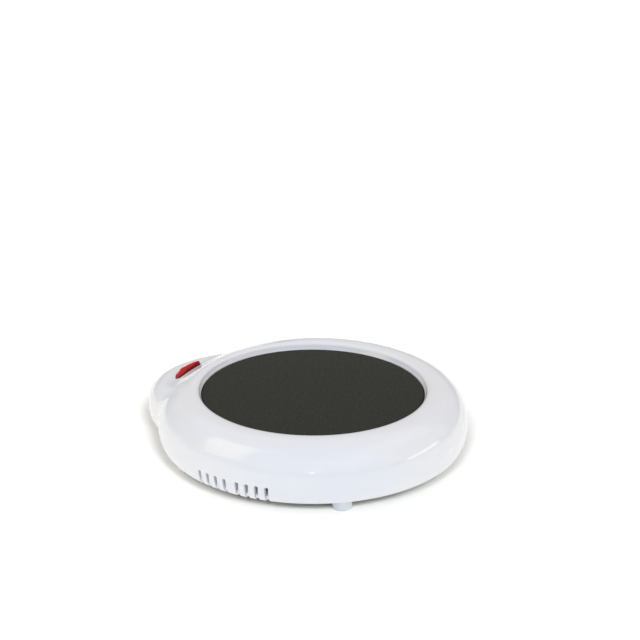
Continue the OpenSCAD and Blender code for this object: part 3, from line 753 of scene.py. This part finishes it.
mat_shell = white_plastic("gloss_white_abs", (0.755, 0.753, 0.778), 0.105)
shell.data.materials.clear()
shell.data.materials.append(mat_shell)
mat_base = white_plastic("sparked_white_abs", (0.72, 0.725, 0.75), 0.42, 0.02)
mat_nylon = white_plastic("moulded_nylon", (0.70, 0.70, 0.71), 0.38, 0.006)
mat_foot = white_plastic("white_rubber", (0.70, 0.71, 0.735), 0.5, 0.004)


def simple(name, tone, rough, metal=0.0, spread=0.12, scale=60, grain=0.004, gscale=900, stretch=None, **kw):
    m = Mat(name)
    m.set(Metallic=metal, **kw)
    m.link(m.ramp(m.noise(scale, 4, 0.6, stretch), [(0.3, tuple(c * (1 - spread) for c in tone)), (0.7, tone)]), "Base Color")
    m.link(m.range(m.noise(scale * 2.7, 3, 0.5, stretch), rough * 0.8, rough * 1.25), "Roughness")
    m.bump([(m.noise(gscale, 3, 0.5, stretch), grain)], 0.8)
    return m.m


mat_plate = simple("plate_coating", (0.0199, 0.0206, 0.0134), 0.5, 0.0, 0.06, 420, 0.006, 1400)
mat_plate.node_tree.nodes["Principled BSDF"].inputs["Specular IOR Level"].default_value = 0.12
m = Mat("rocker_red")
m.set(IOR=1.46, Roughness=0.2)
m.b.inputs["Specular IOR Level"].default_value = 0.09
# painted shade: deeper red towards the straight side and the tips, standing in for the shade that falls on the cap's
# near wall along the chord
side = m.t.nodes.new("ShaderNodeSeparateXYZ")
m.t.links.new(m.co, side.inputs["Vector"])
chord_shade_paint = m.range(side.outputs["Y"], 0.0, 1.0, (ROCK_Y + SHIFT_Y + 0.05) * MM, (ROCK_Y + SHIFT_Y + 1.1) * MM)
grain = m.noise(350, 3)
mix = m.t.nodes.new("ShaderNodeMix")
mix.inputs["Factor"].default_value = 0.12
m.t.links.new(chord_shade_paint, mix.inputs["A"])
m.t.links.new(grain, mix.inputs["B"])
m.link(m.ramp(mix.outputs["Result"], [(0.0, (0.27, 0.002, 0.002)), (0.45, (0.40, 0.003, 0.003)), (1.0, (0.44, 0.004, 0.004))]), "Base Color")
m.link(m.range(m.noise(500, 3), 0.15, 0.28), "Roughness")
m.bump([(m.noise(900, 2), 0.002)], 0.6)
mat_rocker = m.m
mats = {
    "plate_coating": mat_plate,
    "base_white": mat_base,
    "frame_white": mat_nylon,
    "foot_rubber": mat_foot,
    "silicone": simple("silicone", (0.58, 0.56, 0.52), 0.6, 0, 0.06),
    "mica": simple("mica", (0.40, 0.28, 0.12), 0.35, 0, 0.35, 120, 0.02, 400, (1, 1, 6)),
    "brass": simple("brass", (0.74, 0.53, 0.22), 0.32, 1.0, 0.18),
    "ceramic_fibre": simple("ceramic_fibre", (0.76, 0.74, 0.67), 0.9, 0, 0.15, 300, 0.15, 700),
    "zinc_steel": simple("zinc_steel", (0.60, 0.61, 0.63), 0.34, 1.0, 0.16, 90),
    "spring_steel": simple("spring_steel", (0.50, 0.51, 0.53), 0.28, 1.0, 0.12, 90),
    "glass_sleeve": simple("glass_sleeve", (0.76, 0.74, 0.62), 0.75, 0, 0.2, 500, 0.08, 900),
    "rocker_red": mat_rocker,
    "lamp_glass": simple("lamp_glass", (0.95, 0.85, 0.80), 0.05, 0, 0.03, Transmission_Weight=0.9),
    "resistor_tan": simple("resistor_tan", (0.50, 0.33, 0.15), 0.35, 0, 0.12),
    "lead_white": simple("lead_white", (0.72, 0.69, 0.60), 0.5, 0, 0.06),
    "lead_dark": simple("lead_dark", (0.012, 0.012, 0.014), 0.45, 0, 0.2),
    "splice_nylon": simple("splice_nylon", (0.72, 0.69, 0.62), 0.45, 0, 0.06),
    "shell_white": mat_shell,
}
for name, ob in TOOK.items():
    ob.data.materials.clear()
    ob.data.materials.append(mats[SLOT_OF[name]])
for name, ob in nodes.items():
    if name in TOOK:
        continue
    for k in range(max(1, len(ob.data.materials))):
        if k < len(ob.data.materials):
            ob.data.materials[k] = mats[SLOT_OF[name]]
        else:
            ob.data.materials.append(mats[SLOT_OF[name]])

# ------------------------------------------------------------------ camera
F_PX, PHI, ROLL = 1427.9, radians(20.68), radians(0.26)
TURN = radians(-63.75)
cam_at = Vector((2.71, -532.35, 231.67))
right = Vector((1, 0, 0))
up = Vector((0, sin(PHI), cos(PHI)))
back = Vector((0, -cos(PHI), sin(PHI)))
r2 = cos(ROLL) * right + sin(ROLL) * up
u2 = cos(ROLL) * up - sin(ROLL) * right
rot = Matrix.Rotation(TURN, 3, "Z")
axes = Matrix((rot @ r2, rot @ u2, rot @ back)).transposed()
pos = rot @ cam_at + Vector((0, SHIFT_Y, PLATE_Z))
cam = bpy.data.cameras.new("camera")
cam.sensor_width = 36
cam.lens = 36 * F_PX / 640
cam.clip_start, cam.clip_end = 0.01, 20
cam_ob = bpy.data.objects.new("camera", cam)
cam_ob.matrix_world = Matrix.Translation(pos * MM) @ axes.to_4x4()
scene.collection.objects.link(cam_ob)
scene.camera = cam_ob

# ------------------------------------------------------------------ studio
bpy.ops.mesh.primitive_plane_add(size=6, location=(0, 0, 0))
floor = bpy.context.object
floor.name = "floor"
fm = Mat("studio_floor")
fm.set(Base_Color=(0.44, 0.41, 0.40), Roughness=0.9)
fm.b.inputs["Specular IOR Level"].default_value = 0.1
fm.b.inputs["Emission Color"].default_value = (1, 1, 1, 1)
fm.b.inputs["Emission Strength"].default_value = 0.02
floor.data.materials.append(fm.m)

world = bpy.data.worlds.new("studio")
scene.world = world
world.use_nodes = True
world.node_tree.nodes["Background"].inputs["Color"].default_value = (0.71, 0.873, 1.0, 1)
world.node_tree.nodes["Background"].inputs["Strength"].default_value = 0.424


def area(name, at, look, size, radiance, colour=(1, 1, 1), size_y=None):
    """A soft box at a point, with its brightness given as the radiance of its face."""
    l = bpy.data.lights.new(name, "AREA")
    l.shape = "RECTANGLE"
    l.size, l.size_y = size, size_y or size
    l.energy, l.color = radiance * pi * l.size * l.size_y, colour
    ob = bpy.data.objects.new(name, l)
    ob.location = at
    ob.rotation_euler = (Vector(look) - Vector(at)).to_track_quat("-Z", "Y").to_euler()
    ob.visible_camera = False
    scene.collection.objects.link(ob)
    return ob


def from_photo(x, y, z):
    """A point in the photograph's own frame (x right, y away, z up, metres from the plate) in the row frame."""
    return rot @ Vector((x, y, z)) + Vector((0, SHIFT_Y * MM, PLATE_Z * MM))


def soft_box(name, azimuth, elevation, dist, width, height, radiance, roll=0.0):
    """A soft box seen from the object, azimuth from the camera's side to the right; radiance per channel."""
    az, el, top = radians(azimuth), radians(elevation), max(radiance)
    at = from_photo(dist * sin(az) * cos(el), -dist * cos(az) * cos(el), dist * sin(el))
    ob = area(name, at, from_photo(0, 0, -0.01), width, top, tuple(v / top for v in radiance), height)
    ob.rotation_euler.rotate_axis("Z", radians(roll))
    return ob


soft_box("left_box", -74.5, 37.4, 1.2, 0.66, 1.05, (2.40, 1.82, 1.07), 20)
soft_box("right_strip", 83, 7, 1.2, 0.64, 0.115, (4.3, 3.8, 3.1), 5)
soft_box("camera_lamp", 0, 11, 1.2, 0.09, 0.08, (8.6, 9.0, 9.4))
soft_box("front_box", 0, 30, 1.8, 2.6, 1.3, (0.516, 0.695, 0.947))
soft_box("right_box", 85, 40, 1.4, 1.8, 1.4, (0.782, 0.558, 0.254))
soft_box("back_box", 180, 35, 1.6, 2.6, 1.4, (0.309, 0.210, 0.141))
soft_box("front_right_box", 42, 25, 1.6, 1.3, 1.1, (0.373, 0.304, 0.340))
area("ceiling", (0, 0.4, 2.6), (0, 0.4, 0), 5.5, 0.5, (0.768, 0.832, 1.0), 5.5)
# two soft suns from the camera's side that only brighten the floor to white
on_floor = bpy.data.collections.new("floor_only")
on_floor.objects.link(floor)
for name, azimuth, energy in (("floor_sun_left", -13, 3.65), ("floor_sun_right", 17, 4.8)):
    sun = bpy.data.lights.new(name, "SUN")
    sun.energy, sun.angle, sun.color = energy, radians(14), (0.88, 1.0, 1.0)
    ob = bpy.data.objects.new(name, sun)
    ob.location = from_photo(1.5 * sin(radians(azimuth)), -1.5 * cos(radians(azimuth)), 1.12)
    ob.rotation_euler = (from_photo(0, 0, 0) - ob.location).to_track_quat("-Z", "Y").to_euler()
    ob.light_linking.receiver_collection = on_floor
    scene.collection.objects.link(ob)
scene.view_settings.view_transform = "Standard"
